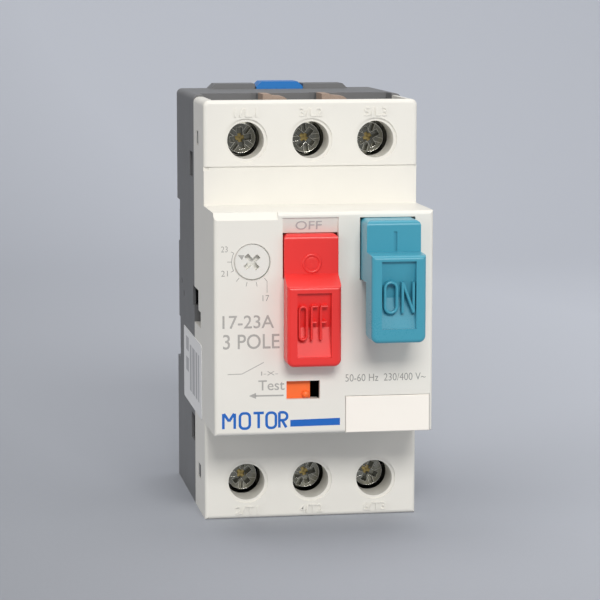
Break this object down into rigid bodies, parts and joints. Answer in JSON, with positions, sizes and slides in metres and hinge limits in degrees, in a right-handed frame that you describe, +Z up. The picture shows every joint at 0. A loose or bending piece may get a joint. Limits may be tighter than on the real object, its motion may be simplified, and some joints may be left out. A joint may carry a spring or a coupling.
{
  "type": "motor protection breaker",
  "caption": "Rail-clipped three-pole motor protection breaker with ON and OFF push keys, current dial, test slider and screw terminals at both ends.",
  "frame": {"origin": "centre of the rail seat, on the plane that the rail's flanges bear on", "axes": "+X to the right of someone facing the panel, +Y back towards the rail, +Z up"},
  "size_m": [0.0447, 0.0785, 0.089],
  "materials": {
    "cover_white": "fine spark-eroded satin",
    "base_grey": "fine spark-eroded matt",
    "key_teal": "satin gloss",
    "key_red": "satin gloss",
    "slider_orange": "satin",
    "dial_white": "satin",
    "marker_cream": "satin",
    "label_grey": "printed paper",
    "latch_blue": "satin",
    "black_plastic": "satin",
    "vent_beige": "fibre board",
    "steel_zinc": "zinc plated",
    "spring_steel": "drawn wire",
    "copper": "tinned copper",
    "bimetal_strip": "rolled",
    "iron": "plated iron"
  },
  "bodies": {
    "housing": {"base_housing": "base_grey", "bimetal_1": "bimetal_strip", "bimetal_2": "bimetal_strip", "bimetal_3": "bimetal_strip", "front_cover": "cover_white", "line_terminal_1": "copper", "line_terminal_2": "copper", "line_terminal_3": "copper", "load_terminal_1": "copper", "load_terminal_2": "copper", "load_terminal_3": "copper", "lower_arc_chute_1": "iron", "lower_arc_chute_2": "iron", "lower_arc_chute_3": "iron", "marker_plate": "marker_cream", "mechanism_frame": "black_plastic", "rail_latch_spring": "spring_steel", "rocker_pin": "iron", "rocker_spring": "spring_steel", "side_label": "label_grey", "test_spring": "spring_steel", "trip_coil_1": "copper", "trip_coil_2": "copper", "trip_coil_3": "copper", "trip_yoke_1": "iron", "trip_yoke_2": "iron", "trip_yoke_3": "iron", "upper_arc_chute_1": "iron", "upper_arc_chute_2": "iron", "upper_arc_chute_3": "iron", "vent_strips": "vent_beige"},
    "on_key": {"on_key": "key_teal"},
    "off_key": {"off_key": "key_red"},
    "rocker": {"rocker": "black_plastic"},
    "carrier": {"contact_carrier": "black_plastic", "moving_contacts": "copper", "contact_springs": "spring_steel"},
    "dial": {"current_dial": "dial_white"},
    "test_slider": {"test_slider": "slider_orange"},
    "trip_shaft": {"trip_shaft": "black_plastic"},
    "overload_slide": {"overload_slide": "black_plastic"},
    "rail_latch": {"rail_latch": "latch_blue"},
    "line_clamp_1": {"line_clamp_1": "steel_zinc"},
    "line_screw_1": {"line_screw_1": "steel_zinc"},
    "line_clamp_2": {"line_clamp_2": "steel_zinc"},
    "line_screw_2": {"line_screw_2": "steel_zinc"},
    "line_clamp_3": {"line_clamp_3": "steel_zinc"},
    "line_screw_3": {"line_screw_3": "steel_zinc"},
    "load_clamp_1": {"load_clamp_1": "steel_zinc"},
    "load_screw_1": {"load_screw_1": "steel_zinc"},
    "load_clamp_2": {"load_clamp_2": "steel_zinc"},
    "load_screw_2": {"load_screw_2": "steel_zinc"},
    "load_clamp_3": {"load_clamp_3": "steel_zinc"},
    "load_screw_3": {"load_screw_3": "steel_zinc"},
    "trip_plunger_1": {"trip_plunger_1": "iron"},
    "trip_plunger_2": {"trip_plunger_2": "iron"},
    "trip_plunger_3": {"trip_plunger_3": "iron"}
  },
  "joints": [
    {"name": "on_key_slide", "type": "slide", "parent": "housing", "child": "on_key", "axis": [0, 1, 0], "range_m": [0, 0.0055]},
    {"name": "off_key_slide", "type": "slide", "parent": "housing", "child": "off_key", "axis": [0, -1, 0], "range_m": [0, 0.0055]},
    {"name": "rocker_turn", "type": "hinge", "parent": "housing", "child": "rocker", "pos_m": [0.00502, -0.0416, 0.01195], "axis": [0, 0, 1], "range_deg": [0, 41.17]},
    {"name": "carrier_slide", "type": "slide", "parent": "housing", "child": "carrier", "axis": [0, 1, 0], "range_m": [0, 0.003]},
    {"name": "dial_turn", "type": "hinge", "parent": "housing", "child": "dial", "pos_m": [-0.0146, -0.06, 0.0105], "axis": [0, -1, 0], "range_deg": [0, 154]},
    {"name": "test_slide", "type": "slide", "parent": "housing", "child": "test_slider", "axis": [-1, 0, 0], "range_m": [0, 0.003], "stiffness_N_per_m": 300, "springref_m": -0.001, "deforming": ["test_spring"]},
    {"name": "trip_shaft_turn", "type": "hinge", "parent": "housing", "child": "trip_shaft", "pos_m": [0, -0.024, -0.006], "axis": [-1, 0, 0], "range_deg": [0, 12.05]},
    {"name": "overload_slide_move", "type": "slide", "parent": "housing", "child": "overload_slide", "axis": [1, 0, 0], "range_m": [0, 0.0015]},
    {"name": "rail_latch_pull", "type": "slide", "parent": "housing", "child": "rail_latch", "axis": [0, 0, 1], "range_m": [0, 0.003], "stiffness_N_per_m": 800, "springref_m": -0.003, "deforming": ["rail_latch_spring"]},
    {"name": "line_clamp_1_slide", "type": "slide", "parent": "housing", "child": "line_clamp_1", "axis": [0, 1, 0], "range_m": [0, 0.003]},
    {"name": "line_screw_1_turn", "type": "hinge", "parent": "line_clamp_1", "child": "line_screw_1", "pos_m": [-0.0135, -0.034, 0.0336], "axis": [0, 1, 0], "range_deg": [0, 1540]},
    {"name": "line_clamp_2_slide", "type": "slide", "parent": "housing", "child": "line_clamp_2", "axis": [0, 1, 0], "range_m": [0, 0.003]},
    {"name": "line_screw_2_turn", "type": "hinge", "parent": "line_clamp_2", "child": "line_screw_2", "pos_m": [0, -0.034, 0.0336], "axis": [0, 1, 0], "range_deg": [0, 1540]},
    {"name": "line_clamp_3_slide", "type": "slide", "parent": "housing", "child": "line_clamp_3", "axis": [0, 1, 0], "range_m": [0, 0.003]},
    {"name": "line_screw_3_turn", "type": "hinge", "parent": "line_clamp_3", "child": "line_screw_3", "pos_m": [0.0135, -0.034, 0.0336], "axis": [0, 1, 0], "range_deg": [0, 1540]},
    {"name": "load_clamp_1_slide", "type": "slide", "parent": "housing", "child": "load_clamp_1", "axis": [0, 1, 0], "range_m": [0, 0.003]},
    {"name": "load_screw_1_turn", "type": "hinge", "parent": "load_clamp_1", "child": "load_screw_1", "pos_m": [-0.0135, -0.034, -0.0375], "axis": [0, 1, 0], "range_deg": [0, 1540]},
    {"name": "load_clamp_2_slide", "type": "slide", "parent": "housing", "child": "load_clamp_2", "axis": [0, 1, 0], "range_m": [0, 0.003]},
    {"name": "load_screw_2_turn", "type": "hinge", "parent": "load_clamp_2", "child": "load_screw_2", "pos_m": [0, -0.034, -0.0375], "axis": [0, 1, 0], "range_deg": [0, 1540]},
    {"name": "load_clamp_3_slide", "type": "slide", "parent": "housing", "child": "load_clamp_3", "axis": [0, 1, 0], "range_m": [0, 0.003]},
    {"name": "load_screw_3_turn", "type": "hinge", "parent": "load_clamp_3", "child": "load_screw_3", "pos_m": [0.0135, -0.034, -0.0375], "axis": [0, 1, 0], "range_deg": [0, 1540]},
    {"name": "trip_plunger_1_slide", "type": "slide", "parent": "housing", "child": "trip_plunger_1", "axis": [0, -1, 0], "range_m": [0, 0.002], "stiffness_N_per_m": 200, "springref_m": -0.001},
    {"name": "trip_plunger_2_slide", "type": "slide", "parent": "housing", "child": "trip_plunger_2", "axis": [0, -1, 0], "range_m": [0, 0.002], "stiffness_N_per_m": 200, "springref_m": -0.001},
    {"name": "trip_plunger_3_slide", "type": "slide", "parent": "housing", "child": "trip_plunger_3", "axis": [0, -1, 0], "range_m": [0, 0.002], "stiffness_N_per_m": 200, "springref_m": -0.001}
  ],
  "couplings": [
    {"joint": "off_key_slide", "follows": "on_key_slide", "ratio": 1},
    {"joint": "rocker_turn", "follows": "on_key_slide", "rad_per_m": 130.5},
    {"joint": "carrier_slide", "follows": "on_key_slide", "ratio": 0.54544},
    {"joint": "trip_shaft_turn", "follows": "test_slide", "rad_per_m": 69.813},
    {"joint": "line_screw_1_turn", "follows": "line_clamp_1_slide", "rad_per_m": 8956.5},
    {"joint": "line_screw_2_turn", "follows": "line_clamp_2_slide", "rad_per_m": 8956.5},
    {"joint": "line_screw_3_turn", "follows": "line_clamp_3_slide", "rad_per_m": 8956.5},
    {"joint": "load_screw_1_turn", "follows": "load_clamp_1_slide", "rad_per_m": 8956.5},
    {"joint": "load_screw_2_turn", "follows": "load_clamp_2_slide", "rad_per_m": 8956.5},
    {"joint": "load_screw_3_turn", "follows": "load_clamp_3_slide", "rad_per_m": 8956.5}
  ]
}
